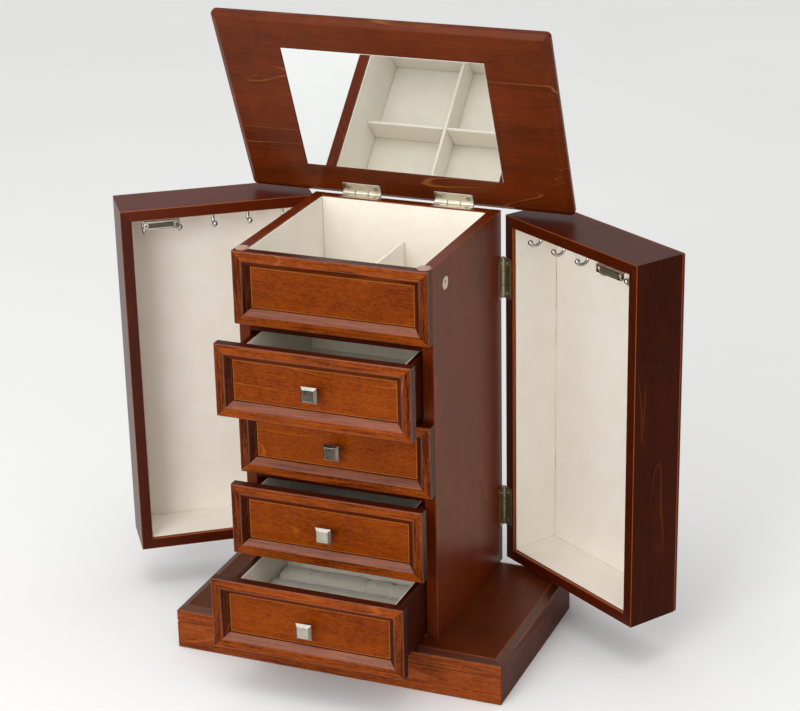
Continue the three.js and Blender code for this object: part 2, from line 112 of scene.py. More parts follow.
class Shading:
    """A material's nodes, with a short call for each kind that is used here."""

    def __init__(self, name, **constants):
        self.material = bpy.data.materials.new(name)
        self.material.use_nodes = True
        self.tree = self.material.node_tree
        self.shader = self.tree.nodes["Principled BSDF"]
        for socket, value in constants.items():
            self.shader.inputs[socket.replace("_", " ")].default_value = value

    def node(self, kind, inputs, output=0, **settings):
        made = self.tree.nodes.new("ShaderNode" + kind)
        for key, value in settings.items():
            setattr(made, key, value)
        for key, value in inputs.items():
            self.feed(made.inputs[key], value)
        return made.outputs[output]

    def feed(self, socket, value):
        if isinstance(value, bpy.types.NodeSocket):
            self.tree.links.new(value, socket)
        else:
            socket.default_value = value

    def place(self):
        return self.node("TexCoord", {}, 3)

    def stretched(self, place, x, y, z):
        return self.node("VectorMath", {0: place, 1: (x, y, z)}, operation="MULTIPLY")

    def noise(self, place, scale=1.0, detail=2.0, rough=0.5, distortion=0.0):
        inputs = {"Vector": place, "Scale": scale, "Detail": detail}
        inputs.update({"Roughness": rough, "Distortion": distortion})
        return self.node("TexNoise", inputs)

    def grain(self, layer):
        """Noise laid out in a board, along its grain."""
        place = self.node("Attribute", {}, 1, attribute_name="grain")
        options = dict(layer)
        along, across = options.pop("cycles")
        return self.noise(self.stretched(place, along, across, across), **options)

    def band(self, value, low, high, start=0.0, end=1.0):
        """A smooth step from start to end as value goes from low to high."""
        inputs = {"Value": value, "From Min": low, "From Max": high, "To Min": start, "To Max": end}
        return self.node("MapRange", inputs, interpolation_type="SMOOTHSTEP")

    def math(self, operation, a, b=0.0):
        return self.node("Math", {0: a, 1: b}, operation=operation)

    def scaled(self, value, factor, offset=0.0):
        """value times factor, plus offset."""
        return self.node("Math", {0: value, 1: factor, 2: offset}, operation="MULTIPLY_ADD")

    def mix(self, share, a, b):
        return self.node("Mix", {0: share, 6: a, 7: b}, 2, data_type="RGBA")

    def bump(self, height, distance, strength=1.0):
        inputs = {"Height": height, "Distance": distance, "Strength": strength}
        self.feed(self.shader.inputs["Normal"], self.node("Bump", inputs))

    def finish(self, color, roughness=None):
        self.feed(self.shader.inputs["Base Color"], color)
        if roughness is not None:
            self.feed(self.shader.inputs["Roughness"], roughness)
        return self.material


# Noise laid out in a board. cycles says how many there are in a metre along and across the grain.
BROAD_FIGURE = {"cycles": (7, 32), "detail": 3, "distortion": 0.6}
CURL = {"cycles": (75, 26), "distortion": 0.6}
FIBRES = {"cycles": (30, 620), "detail": 4, "rough": 0.6, "distortion": 0.3}
PORES = {"cycles": (24, 560), "detail": 3, "rough": 0.55, "distortion": 0.3}
DASHES = {"cycles": (210, 720), "detail": 3, "rough": 0.6}
GROWTH = {"cycles": (3, 19), "rough": 0.4, "distortion": 0.5}
PATCHES = {"cycles": (9, 20)}

# Two lines run in each growth ring: its place in the ring, its half width and its strength.
GROWTH_RINGS = 6.0
DARK_LINE = (0.42, 0.05, 0.6)
PALE_LINE = (0.5, 0.035, 1.0)
LACQUER_TINT = (1.0, 0.72, 0.6, 1)


def wood(
    name, dark, light, line, fibre=0.95, streaks=0.2, flecks=0.3, figure=0.5, lines=0.4, gloss=0.2
):
    """Stained veneer under satin lacquer: broad figure, fibres, open pores and growth lines."""
    look = Shading(name, Specular_IOR_Level=gloss)
    look.shader.inputs["Specular Tint"].default_value = LACQUER_TINT
    fibres = look.grain(FIBRES)
    pores = look.band(look.grain(PORES), 0.5, 0.6)
    dashes = look.band(look.grain(DASHES), 0.42, 0.62)
    tone = look.math("ADD", look.node("Attribute", {}, 2, attribute_name="shade"), 0.5)
    # Each layer's strength, and the value at which it leaves the tone alone.
    for layer, strength, neutral in (
        (look.grain(BROAD_FIGURE), 1.7 * figure, 0.5),
        (look.grain(CURL), 0.7 * figure, 0.5),
        (fibres, fibre, 0.5),
        (pores, -0.7 * streaks, 2 / 7),
        (dashes, -0.6 * flecks, 0.5),
    ):
        rest = look.math("ADD", tone, -strength * neutral)
        tone = look.scaled(layer, strength, rest)
    tone = look.math("MINIMUM", look.math("MAXIMUM", tone, 0.0), 1.0)
    color = look.mix(tone, srgb(dark), srgb(light))
    ring = look.math("FRACT", look.scaled(look.grain(GROWTH), GROWTH_RINGS))
    where = look.band(look.grain(PATCHES), 0.46, 0.58)
    for (centre, width, strength), ink in ((DARK_LINE, dark), (PALE_LINE, line)):
        away = look.math("ABSOLUTE", look.math("SUBTRACT", ring, centre))
        drawn = look.scaled(look.band(away, 0.0, width, 1, 0), where)
        color = look.mix(look.scaled(drawn, strength * lines), color, srgb(ink))
    dents = look.scaled(dashes, -0.4 * flecks)
    grooves = look.scaled(pores, -streaks, dents)
    look.bump(look.scaled(fibres, 0.4, grooves), 0.05 * MM, 0.5)
    return look.finish(color, look.scaled(fibres, 0.14, 0.3))


def velour(name, dark, light, pile=0.35):
    """Short pile with brushed patches, on covered card."""
    look = Shading(name, Sheen_Weight=pile, Sheen_Roughness=0.5, Specular_IOR_Level=0.15)
    at = look.place()
    brushed = look.noise(at, 42, detail=3, rough=0.6, distortion=0.5)
    tufts = look.noise(at, 1500, detail=2, rough=0.7)
    weave = look.noise(look.stretched(at, 420, 420, 190), detail=2)
    tone = look.scaled(brushed, 0.7, look.scaled(tufts, 0.35))
    tone = look.scaled(weave, 0.3, look.math("ADD", tone, -0.2))
    look.bump(look.scaled(weave, 0.5, tufts), 0.25 * MM, 0.35)
    color = look.mix(tone, srgb(dark), srgb(light))
    return look.finish(color, look.band(tufts, 0.2, 0.8, 0.82, 0.98))


def metal(name, dark, light, rough, pits=0.0):
    """Plated metal, slightly cloudy, and mottled where it has pits."""
    look = Shading(name, Metallic=1.0)
    at = look.place()
    cloud = look.noise(at, 160, detail=3, rough=0.6)
    grain = look.noise(look.stretched(at, 2400, 2400, 500), detail=2)
    spots = look.band(look.noise(at, 620, detail=2, rough=0.6), 0.48, 0.64, 0, pits)
    tone = look.math("SUBTRACT", look.scaled(cloud, 1.0, 0.1), spots)
    roughness = look.scaled(cloud, 0.12, look.scaled(spots, 0.3, rough))
    brushing = look.scaled(grain, 0.4)
    look.bump(look.scaled(spots, -1.0, brushing), 0.02 * MM, 0.2)
    return look.finish(look.mix(tone, srgb(dark), srgb(light)), roughness)


def silvered_glass():
    look = Shading("silvered_glass", Metallic=1.0)
    haze = look.noise(look.place(), 30, detail=2)
    color = look.mix(haze, srgb("eef2f1"), srgb("f6f8f7"))
    return look.finish(color, look.band(haze, 0.3, 0.8, 0.006, 0.016))


# Ferrite: the magnet's own colour, also painted shade in the catch screws' hollow centres.
def magnet_and_recess_shade():
    look = Shading("ferrite_and_recess_shade", Specular_IOR_Level=0.4)
    grit = look.noise(look.place(), 1300, detail=3, rough=0.7)
    look.bump(grit, 0.05 * MM, 0.4)
    color = look.mix(grit, srgb("2c2a1e"), srgb("5a5640"))
    return look.finish(color, look.band(grit, 0.2, 0.8, 0.4, 0.7))


# What some woods share. Slot 0 of a list is a board's face, slot 1 its rounded, worn edges, and
# the others are flats of their own, most of them lighter or darker copies: painted light and shade.
VENEER = {"fibre": 0.5, "flecks": 0.2, "figure": 0.4}
WORN = {"fibre": 0.4, "figure": 0.3, "lines": 0.2}
MOULDED = {"streaks": 0.4, "figure": 0.2}

CASE = [
    wood("case_wood", "340d01", "7c2c06", "94501c", **VENEER, streaks=0.1),
    wood("case_wood_edge", "60280a", "9a5020", "9c5822", **WORN),
]
LID = [
    wood("lid_wood", "2c0c01", "782f09", "a2682c", **VENEER, streaks=0.1, lines=0.5),
    CASE[1],
]
DOOR = [
    wood("door_wood", "200600", "521803", "6e3410", **VENEER, lines=0.2, gloss=0.25),
    wood("door_wood_edge", "64280a", "964e1c", "9c5822", **WORN),
    # A duller, darker copy for the right door's outer sides: painted shade.
    wood("door_wood_shaded_side", "1a0500", "4a1602", "6e3410", **VENEER, gloss=0.05),
]
FACE = {"flecks": 0.35, "figure": 0.35}
# Slot 2 is a lit copy of the face, painted highlight; slots 3 and 4 are darker copies, painted
# shade.
FRAME = [
    wood("frame_wood", "3a0f01", "9c480f", "b0602a", **FACE, streaks=0.38, gloss=0.1),
    wood("frame_wood_edge", "401104", "853812", "a85a2a", **MOULDED, gloss=0.7),
    wood("frame_wood_lit_slope", "401408", "8c4424", "a05a34", **MOULDED, gloss=1.0),
    wood("frame_wood_side", "1c0601", "4a1605", "5c2a10", streaks=0.3, figure=0.2),
    wood("frame_wood_shaded", "280a01", "6c2c0a", "8a4018", **MOULDED, gloss=0.1),
]
CLEAR = {"figure": 0.2, "lines": 0.1}
PANEL = [
    wood(
        "panel_wood", "4e1701", "904004", "ac6014",
        fibre=0.4, streaks=0.1, flecks=0.5, lines=0.5, gloss=0.1,
    ),
    wood("panel_wood_edge", "7e4010", "a86420", "ac6014", **CLEAR, fibre=0.3, flecks=0.2),
    # The sunk margin's darker copy: painted shade under the frame.
    wood("panel_wood_shaded", "1c0601", "3c1203", "4c1c06", **CLEAR, fibre=0.4),
]
PLINTH_WOOD = [
    wood("plinth_wood", "3a1004", "944518", "a85a2a", **FACE, streaks=0.5, gloss=0.12),
    wood("plinth_wood_edge", "4c200c", "8c4820", "a85a2a", **MOULDED, lines=0.1),
    wood("plinth_wood_shaded", "220803", "4c1c0d", "74401c", **CLEAR, fibre=0.5, gloss=0.9),
    wood("plinth_top_wood", "300e02", "5e2506", "86481e", fibre=0.4, figure=0.4, lines=0.2),
    # The side boards' darker copy: painted shade.
    wood("plinth_side_wood_shaded", "240a03", "66290f", "74401c", streaks=0.5, figure=0.35, gloss=0.05),
]
DRAWER = [
    wood("drawer_wood", "1e0602", "441405", "5a2810", fibre=0.5, figure=0.3, lines=0.2, gloss=0.12),
    wood("drawer_wood_edge", "340f05", "5c270b", "5a2810", **CLEAR, fibre=0.4),
]
CREAM = [velour("cream_velour", "e7dfd0", "f8f3e9")]
GREY = [velour("grey_velour", "e2dac8", "f5f0e2")]
ROLL_VELOUR = [velour("roll_velour", "d6cfbe", "ebe5d6", pile=0.5)]
MIRROR = [silvered_glass()]
NICKEL = metal("satin_nickel", "b3ab98", "e2dccd", 0.24)
OLD_NICKEL = metal("old_nickel", "766c58", "afa48a", 0.26, pits=0.1)
CHROME = [metal("bright_plate", "8f8f8d", "dededc", 0.1)]
PEWTER = [
    metal("bright_pewter", "b8b1a4", "f0ebe0", 0.18),
    metal("brushed_pewter", "8f887b", "c9c2b4", 0.26, pits=0.15),
    # Darker pewter: the lid hinges' screws, and painted shade on the knobs' side slopes.
    metal("dull_pewter_and_shade", "6a6359", "a0978a", 0.26, pits=0.2),
]
PATINA = metal("pewter_patina", "120e0b", "6e665c", 0.28, pits=0.3)
STEEL = [metal("strike_plate", "a8a091", "e0dacb", 0.2), magnet_and_recess_shade()]
BUMPER = [velour("pressed_felt", "96705f", "b8907e", pile=0.25)]


# ---- Mesh building ----

GRAIN_TURNS = {
    "x": Matrix.Identity(3),
    "y": Matrix.Rotation(radians(-90), 3, "Z"),
    "z": Matrix.Rotation(radians(90), 3, "Y"),
}


def with_grain(bm, along, shade=0.0):
    """Stores where each point lies in its board, each board cut from a place of its own, and how
    much lighter or darker than the others the board is."""
    layer = bm.verts.layers.float_vector.new("grain")
    shades = bm.verts.layers.float.new("shade")
    shade += chance.uniform(-0.06, 0.06)
    start = Vector(chance.uniform(0, 30) for _ in range(3))
    for vertex in bm.verts:
        vertex[layer] = start + GRAIN_TURNS[along] @ vertex.co
        vertex[shades] = shade
    return bm


def merged(parts):
    """One mesh of several solids."""
    whole = bmesh.new()
    for part in parts:
        mesh = bpy.data.meshes.new("part")
        part.to_mesh(mesh)
        part.free()
        whole.from_mesh(mesh)
        bpy.data.meshes.remove(mesh)
    return whole


def bevelled(bm, width, segments=3, material=-1):
    """Rounds the sharp edges, and gives the rounded strips a slot of their own if one is named."""
    sharp = [e for e in bm.edges if e.calc_face_angle(0) > radians(30)]
    options = {"affect": "EDGES", "profile": 0.5, "clamp_overlap": True, "material": material}
    bmesh.ops.bevel(bm, geom=sharp, offset=width, segments=segments, **options)
    return bm


def block(low, high):
    bm = bmesh.new()
    bmesh.ops.create_cube(bm, size=1)
    for vertex in bm.verts:
        vertex.co = Vector(high[i] if vertex.co[i] > 0 else low[i] for i in range(3))
    return bm


def board(low, high, along, edge=0.5 * MM):
    """A square board with slightly worn edges."""
    return with_grain(bevelled(block(low, high), edge, material=1), along)


def loft(rings, materials=None):
    """A closed skin over equal rings of points. materials gives each strip of it a slot."""
    bm = bmesh.new()
    rows = [[bm.verts.new(point) for point in ring] for ring in rings]
    count = len(rows[0])
    for here, there in zip(rows, rows[1:]):
        for i in range(count):
            j = (i + 1) % count
            face = bm.faces.new((here[i], here[j], there[j], there[i]))
            if materials:
                face.material_index = materials[i]
    bm.faces.new(rows[0])
    bm.faces.new(rows[-1])
    bmesh.ops.recalc_face_normals(bm, faces=bm.faces)
    return bm


def rectangle(low, high, inset=0.0):
    """The four corners of a rectangle, in turn round it."""
    near = (low[0] + inset, low[1] + inset)
    far = (high[0] - inset, high[1] - inset)
    return [near, (far[0], near[1]), far, (near[0], far[1])]


def softened(outline, radii, strips, steps=4):
    """An outline whose corners are rounded, and the slot of each strip: 1 on a rounded corner, and
    the slot that strips names on the flat after a corner."""
    points, slots = [], []
    for i, corner in enumerate(outline):
        radius = radii.get(i, 0)
        flat = strips.get(i, 0)
        if not radius:
            points.append(corner)
            slots.append(flat)
            continue
        before = (Vector(outline[i - 1]) - Vector(corner)).normalized() * radius
        after = (Vector(outline[(i + 1) % len(outline)]) - Vector(corner)).normalized() * radius
        for k in range(steps + 1):
            t = k / steps
            point = Vector(corner) + before * (1 - t) ** 2 + after * t**2
            points.append(tuple(point))
            slots.append(1 if k < steps else flat)
    return points, slots


def mitred_frame(corners, depth, section, radii, alongs, strips, shades):
    """Four boards of one section that meet in mitres. A section point is (inset, depth). alongs,
    strips and shades hold each board's grain, the slots of its flats and its shade."""
    seam = 0.06 * MM
    parts = []
    for i, along in enumerate(alongs):
        outline, slots = softened(section, radii, strips[i])
        start, end = corners[i], corners[(i + 1) % 4]
        run = (end - start).normalized()
        inward = (corners[(i + 2) % 4] - end).normalized()
        rings = []
        for point, way in ((start, run), (end, -run)):
            begin = point + way * seam
            rings.append([begin + (way + inward) * inset + depth * d for inset, d in outline])
        parts.append(with_grain(loft(rings, slots), along, shades[i]))
    return parts


def round_ring(low, high, radius, height, steps=6):
    """A level rounded rectangle of points."""
    points = []
    for k, (x, y) in enumerate(((1, 1), (0, 1), (0, 0), (1, 0))):
        cx = high[0] - radius if x else low[0] + radius
        cy = high[1] - radius if y else low[1] + radius
        for i in range(steps + 1):
            angle = radians(90 * (k + i / steps))
            x, y = cx + radius * cos(angle), cy + radius * sin(angle)
            points.append(Vector((x, y, height)))
    return points


def profile_mm(*points):
    """A profile whose points are given in millimetres."""
    return [(radius * MM, height * MM) for radius, height in points]


def circle(radius, height, steps):
    """A level ring of points round the Z axis."""
    angles = [2 * pi * i / steps for i in range(steps)]
    return [Vector((radius * cos(a), radius * sin(a), height)) for a in angles]


def turned(profile, place, steps=24):
    """A solid of revolution. A profile point is (radius, height) in the axes that place gives."""
    rings = [circle(radius, height, steps) for radius, height in profile]
    return loft([[place @ point for point in ring] for ring in rings])


def tube(points, radius, side, steps=12):
    """A round rod along a plane curve. side is the direction across that plane."""
    rings = []
    for i, point in enumerate(points):
        ahead = points[min(i + 1, len(points) - 1)] - points[max(i - 1, 0)]
        across = ahead.cross(side).normalized()
        angles = [2 * pi * k / steps for k in range(steps)]
        rings.append([point + (across * cos(a) + side * sin(a)) * radius for a in angles])
    return loft(rings)


def axes(origin, u, v, w):
    """The matrix that carries X, Y and Z to u, v and w at an origin."""
    return Matrix.Translation(origin) @ Matrix((u, v, w)).transposed().to_4x4()


def carried(bm, matrix):
    bmesh.ops.transform(bm, matrix=matrix, verts=bm.verts)
    bmesh.ops.recalc_face_normals(bm, faces=bm.faces)
    return bm


def in_scene(name, data):
    made = bpy.data.objects.new(name, data)
    scene.collection.objects.link(made)
    return made


def mesh_object(name, bm):
    mesh = bpy.data.meshes.new(name)
    bm.to_mesh(mesh)
    bm.free()
    return in_scene(name, mesh)


def discard(temporary):
    mesh = temporary.data
    bpy.data.objects.remove(temporary)
    bpy.data.meshes.remove(mesh)


def shape_of(temporary):
    """An object's mesh as its modifiers leave it."""
    return temporary.evaluated_get(bpy.context.evaluated_depsgraph_get()).to_mesh()


def add_piece(name, bm, materials, node):
    """Puts a mesh drawn in its closed place into the scene, in place of a CAD node."""
    body = BODY_OF[node]
    piece = mesh_object(name, bm)
    mesh = piece.data
    mesh.transform(PLACES[body])
    for material in materials:
        mesh.materials.append(material)
    mesh.shade_smooth()
    mesh.set_sharp_from_angle(angle=radians(40))
    normals = piece.modifiers.new("Face normals", "WEIGHTED_NORMAL")
    normals.keep_sharp = True
    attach(piece, body)
    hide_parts(node)
    return piece


def carve(bm, cutters):
    """A mesh less some closed solids."""
    body = mesh_object("carved", bm)
    tool = mesh_object("tool", merged(cutters))
    boolean = body.modifiers.new("Cut", "BOOLEAN")
    boolean.operation = "DIFFERENCE"
    boolean.object = tool
    boolean.solver = "EXACT"
    result = bmesh.new()
    result.from_mesh(shape_of(body))
    discard(body)
    discard(tool)
    return result


def from_node(node, edge, along):
    """A CAD board's own shape with rounded, worn edges."""
    mesh = frame["nodes"][node].data.copy()
    mesh.transform(PLACES[BODY_OF[node]].inverted())
    bm = bmesh.new()
    bm.from_mesh(mesh)
    bpy.data.meshes.remove(mesh)
    bmesh.ops.remove_doubles(bm, verts=bm.verts, dist=0.01 * MM)
    bmesh.ops.dissolve_limit(bm, angle_limit=radians(2), verts=bm.verts, edges=bm.edges)
    for face in bm.faces:
        face.material_index = 0
    return with_grain(bevelled(bm, edge, material=1), along)


# ---- Base and cabinet ----

PLINTH = {
    "width": 8 * MM,
    "foot": 1.0 * MM,
    "groove": (25.4 * MM, 26.6 * MM, 1.1 * MM),
    "bevel": (7.2 * MM, 2.9 * MM),
    "bottom_board": 3.5 * MM,
}
# Slots of PLINTH_WOOD, given to the flats after some of the section's corners. The bevels and the
# side boards' outer faces get darker copies of the wood: painted shade.
PLINTH_SHADED_BEVEL, PLINTH_TOP, PLINTH_SHADED_SIDE = 2, 3, 4
PLINTH_FRONT_STRIPS = {5: PLINTH_SHADED_BEVEL}
PLINTH_SIDE_STRIPS = {1: PLINTH_SHADED_SIDE, 4: PLINTH_SHADED_SIDE, 5: PLINTH_SHADED_BEVEL}
# The back and side mouldings are a little darker than the front: painted shade.
PLINTH_SHADES = (0.1, -0.1, -0.1, -0.1)


def base():
    """Four mitred mouldings round a top board, and the cabinet's bottom board on it."""
    low, high = closed_box("base")
    top = high.z - PLINTH["bottom_board"]
    groove_low, groove_high, groove_depth = PLINTH["groove"]
    bevel_inset, bevel_drop = PLINTH["bevel"]
    width = PLINTH["width"]
    section = [
        (width, 0),
        (0, 0),
        (0, groove_low),
        (groove_depth, (groove_low + groove_high) / 2),
        (0, groove_high),
        (0, top - bevel_drop),
        (bevel_inset, top),
        (width, top),
    ]
    radii = {1: PLINTH["foot"], 2: 0.4 * MM, 4: 0.4 * MM, 5: 0.9 * MM, 6: 0.6 * MM}
    corners = [Vector((x, y, 0)) for x, y in rectangle(low, high)]
    strips = [PLINTH_FRONT_STRIPS, PLINTH_SIDE_STRIPS] * 2
    mouldings = mitred_frame(corners, Z, section, radii, "xyxy", strips, PLINTH_SHADES)
    core_low, _, core_high, _ = rectangle(low, high, width + 0.1 * MM)
    core = board((*core_low, 0), (*core_high, top), "x", 0.2 * MM)
    for face in core.faces:
        face.material_index = PLINTH_TOP
    side_low, _ = closed_box("right_side")
    back_low, _ = closed_box("back_panel")
    bottom_low = (-side_low.x + 0.5 * MM, side_low.y + 0.3 * MM, top - 1 * MM)
    bottom_high = (side_low.x - 0.5 * MM, back_low.y - 0.5 * MM, high.z)
    bottom = board(bottom_low, bottom_high, "x", 0.3 * MM)
    whole = merged([*mouldings, core, bottom])
    add_piece("base_moulding", whole, PLINTH_WOOD, "base")


def cabinet_boards():
    uprights = [(f"{side}_flank", f"{side}_side", 0.9 * MM) for side in SIDES]
    for name, node, edge in (*uprights, ("cabinet_back", "back_panel", 0.6 * MM)):
        add_piece(name, from_node(node, edge, "z"), CASE, node)
    for node in (*(f"drawer_shelf_{number}" for number in (1, 2, 3)), "compartment_floor"):
        made = from_node(node, 0.4 * MM, "x")
        add_piece(f"{node}_board", made, DRAWER, node)


# ---- Fronts and drawers ----

FRONT_FLAT = 8.5 * MM
FRONT_SLOPE = (14 * MM, 4.7 * MM)
FRONT_RABBET = 11 * MM
# Slots of FRAME. The bottom rail's slope catches the light: its pinker, glossier copy of the wood
# is painted highlight. The other slopes lie in shade, and they and every board's outer side, step
# and
# rabbet get darker copies: painted shade.
FRAME_LIT_SLOPE, FRAME_SHADED_SIDE, FRAME_SHADED = 2, 3, 4
LIT = {0: FRAME_SHADED_SIDE, 2: FRAME_LIT_SLOPE, 3: FRAME_SHADED_SIDE, 4: FRAME_SHADED_SIDE}
SHADED = {**LIT, 2: FRAME_SHADED}
FRONT_STRIPS = [LIT, SHADED, SHADED, SHADED]
FRONT_SHADES = (0, -0.3, 0, -0.32)
FIELD = {"margin": 3.0 * MM, "step": 1.2 * MM, "round": 0.3 * MM, "line": 0.55 * MM}


def front(name):
    """A mitred frame with a sloped inner edge, and the veneered panel behind it."""
    low, high = closed_box(f"{name}_frame")
    depth = high.y - low.y
    slope_end, slope_depth = FRONT_SLOPE
    step = slope_depth + 0.5 * MM
    section = [
        (0, depth),
        (0, 0),
        (FRONT_FLAT, 0),
        (slope_end, slope_depth),
        (slope_end, step),
        (FRONT_RABBET, step),
        (FRONT_RABBET, depth),
    ]
    radii = {0: 0.4 * MM, 1: 1.0 * MM, 2: 0.7 * MM, 3: 0.25 * MM}
    corners = [Vector((x, low.y, z)) for x, z in rectangle(low.xz, high.xz)]
    members = mitred_frame(corners, Y, section, radii, "xzxz", FRONT_STRIPS, FRONT_SHADES)
    add_piece(f"{name}_moulding", merged(members), FRAME, f"{name}_frame")
    veneer = fielded_panel(*closed_box(f"{name}_panel"))
    add_piece(f"{name}_veneer", veneer, PANEL, f"{name}_panel")


def fielded_panel(low, high):
    """A panel with a raised field inside a sunk margin painted dark as shade, and a thin pale line
    of wear round it.
    """
    margin, step = FIELD["margin"], FIELD["step"]
    line_start = margin + FIELD["round"]
    line_end = line_start + FIELD["line"]
    profile = [
        (0, high.y),
        (0, low.y + step),
        (margin, low.y + step),
        (margin, low.y + FIELD["round"]),
        (line_start, low.y),
        (line_end, low.y),
    ]
    rings = [
        [Vector((x, y, z)) for x, z in rectangle(low.xz, high.xz, inset)]
        for inset, y in profile
    ]
    bm = loft(rings)
    for face in bm.faces:
        x, _, z = face.calc_center_median()
        inset = min(x - low.x, high.x - x, z - low.z, high.z - z)
        # The sunk margin gets slot 2, a darker copy of the wood: painted shade under the frame.
        if 0 < inset <= margin + 0.01 * MM:
            face.material_index = 2
        elif 0 < inset < line_end:
            face.material_index = 1
    return with_grain(bm, "x")


DRAWER_WALL = 5 * MM
DRAWER_FLOOR = 3 * MM


def drawer_box(name):
    """Five boards: the sides run from front to back, and the ends and floor lie between them."""
    low, high = closed_box(f"{name}_box")
    wall, seam = DRAWER_WALL, 0.1 * MM
    sides = [
        board(low, (low.x + wall, high.y, high.z), "y"),
        board((high.x - wall, low.y, low.z), high, "y"),
    ]
    inner = (low.x + wall + seam, high.x - wall - seam)
    ends = [
        board((inner[0], y, low.z), (inner[1], y + wall, high.z), "x")
        for y in (low.y, high.y - wall)
    ]
    floor_low = (inner[0], low.y + wall + seam, low.z)
    floor_high = (inner[1], high.y - wall - seam, low.z + DRAWER_FLOOR)
    parts = [*sides, *ends, board(floor_low, floor_high, "x")]
    add_piece(f"{name}_tray", merged(parts), DRAWER, f"{name}_box")


def covered_card(x, y, z, edge, grid=7 * MM, swell=0.1 * MM):
    """A thin card wrapped in fabric, with soft edges and uneven faces. x, y and z are ranges."""
    low, high = zip(x, y, z)
    bm = bevelled(block(low, high), edge, segments=2)
    for axis in range(3):
        span = high[axis] - low[axis]
        cuts = int(span / grid)
        normal = (X, Y, Z)[axis]
        for k in range(1, cuts):
            point = normal * (low[axis] + span * k / cuts)
            geometry = [*bm.verts, *bm.edges, *bm.faces]
            bmesh.ops.bisect_plane(bm, geom=geometry, plane_co=point, plane_no=normal)
    bm.normal_update()
    start = Vector(chance.uniform(0, 90) for _ in range(3))
    for vertex in bm.verts:
        vertex.co += vertex.normal * swell * (noise.noise(start + vertex.co * 45) - 0.5)
    return bm


def lined_tray(low, high, wall, floor, edge):
    """The five covered cards that line a box open upwards."""
    seam = 0.08 * MM
    _, y, z = zip(low, high)
    inner_x = (low.x + wall + seam, high.x - wall - seam)
    inner_y = (low.y + wall + seam, high.y - wall - seam)
    return [
        covered_card((low.x, low.x + wall), y, z, edge),
        covered_card((high.x - wall, high.x), y, z, edge),
        covered_card(inner_x, (low.y, low.y + wall), z, edge),
        covered_card(inner_x, (high.y - wall, high.y), z, edge),
        covered_card(inner_x, inner_y, (low.z, low.z + floor), edge),
    ]


def drawer_lining(name):
    low, high = closed_box(f"{name}_lining")
    parts = lined_tray(low, high, 0.8 * MM, 0.8 * MM, 0.3 * MM)
    if name == "drawer_4":
        _, cushion_high = closed_box("ring_cushion")
        front_y = cushion_high.y + 0.3 * MM
        across = (low.x + 0.9 * MM, high.x - 0.9 * MM)
        depth = (front_y, front_y + 3 * MM)
        parts.append(covered_card(across, depth, (low.z + 0.9 * MM, high.z), 1.2 * MM))
    add_piece(f"{name}_velour", merged(parts), GREY, f"{name}_lining")


KNOB_HEAD = 3.0 * MM
KNOB_RIM = 0.7 * MM
KNOB_FACE = 5.2 * MM
DARK_KNOBS = ("drawer_1", "drawer_2")


def knob(name):
    """A turned neck under a square head with sloped sides and a slightly sunk face."""
    low, high = closed_box(f"{name}_knob")
    half = (high.x - low.x) / 2
    centre = (low + high) / 2
    head_back = low.y + KNOB_HEAD

    def ring(size, y):
        plate = round_ring((-size, -size), (size, size), 0.25 * MM, 0, steps=2)
        return [Vector((centre.x + p.x, y, centre.z + p.y)) for p in plate]

    head = loft([
        ring(half - 0.3 * MM, head_back),
        ring(half, head_back - 0.25 * MM),
        ring(half, head_back - KNOB_RIM),
        ring(half - 0.12 * MM, head_back - KNOB_RIM - 0.15 * MM),
        ring(KNOB_FACE + 0.12 * MM, low.y + 0.12 * MM),
        ring(KNOB_FACE, low.y),
        ring(KNOB_FACE - 0.55 * MM, low.y),
        ring(KNOB_FACE - 0.65 * MM, low.y + 0.12 * MM),
    ])
    # Slot 1 is the sunk face; the side slopes get slot 2, a darker pewter: painted shade.
    for facet in head.faces:
        if abs(facet.normal.y) > 0.9 and facet.calc_center_median().y < head_back - KNOB_RIM:
            facet.material_index = 1
        elif abs(facet.normal.x) > 0.3:
            facet.material_index = 2
    neck_length = high.y - head_back
    place = axes(Vector((centre.x, high.y, centre.z)), X, Z, -Y)
    neck = turned([
        (2.3 * MM, 0),
        (2.3 * MM, 0.4 * MM),
        (2.0 * MM, 0.8 * MM),
        (2.0 * MM, neck_length - 3 * MM),
        (2.6 * MM, neck_length - 1.4 * MM),
        (4.2 * MM, neck_length + 0.1 * MM),
    ], place)
    metals = [PEWTER[0], PATINA if name in DARK_KNOBS else PEWTER[1], PEWTER[2]]
    add_piece(f"{name}_pull", merged([neck, head]), metals, f"{name}_knob")


# ---- Ring cushion ----

ROLLS = 4
ROLL_GAP = 1.6 * MM
ROLL_SWELL = 1.1 * MM


def ring_rolls():
    """Four stuffed rolls side by side, swollen by a short cloth simulation under pressure."""
    low, high = closed_box("ring_cushion")
    pitch = (high.y - low.y) / ROLLS
    start, end = low.x + 0.4 * MM, high.x - 0.4 * MM
    top = high.z - 0.8 * MM
    parts = []
    for i in range(ROLLS):
        near = low.y + pitch * i + ROLL_GAP / 2
        far = low.y + pitch * (i + 1) - ROLL_GAP / 2
        parts.append(roll((start, near, low.z), (end, far, top)))

    def held(point):
        """True on the flat foot and at both ends."""
        free = start + 0.8 * MM < point.x < end - 0.8 * MM
        return point.z < low.z + 1.5 * MM or not free

    rolls = swollen(merged(parts), held, ROLL_SWELL)
    cushion = add_piece("ring_rolls", rolls, ROLL_VELOUR, "ring_cushion")
    cushion.modifiers.new("Smooth", "SUBSURF").render_levels = 1


STUFFED = {
    "quality": 6,
    "mass": 0.2,
    "use_pressure": True,
    "uniform_pressure_force": 40,
    "shrink_min": -0.04,
    "tension_stiffness": 8,
    "compression_stiffness": 8,
    "bending_stiffness": 0.3,
}


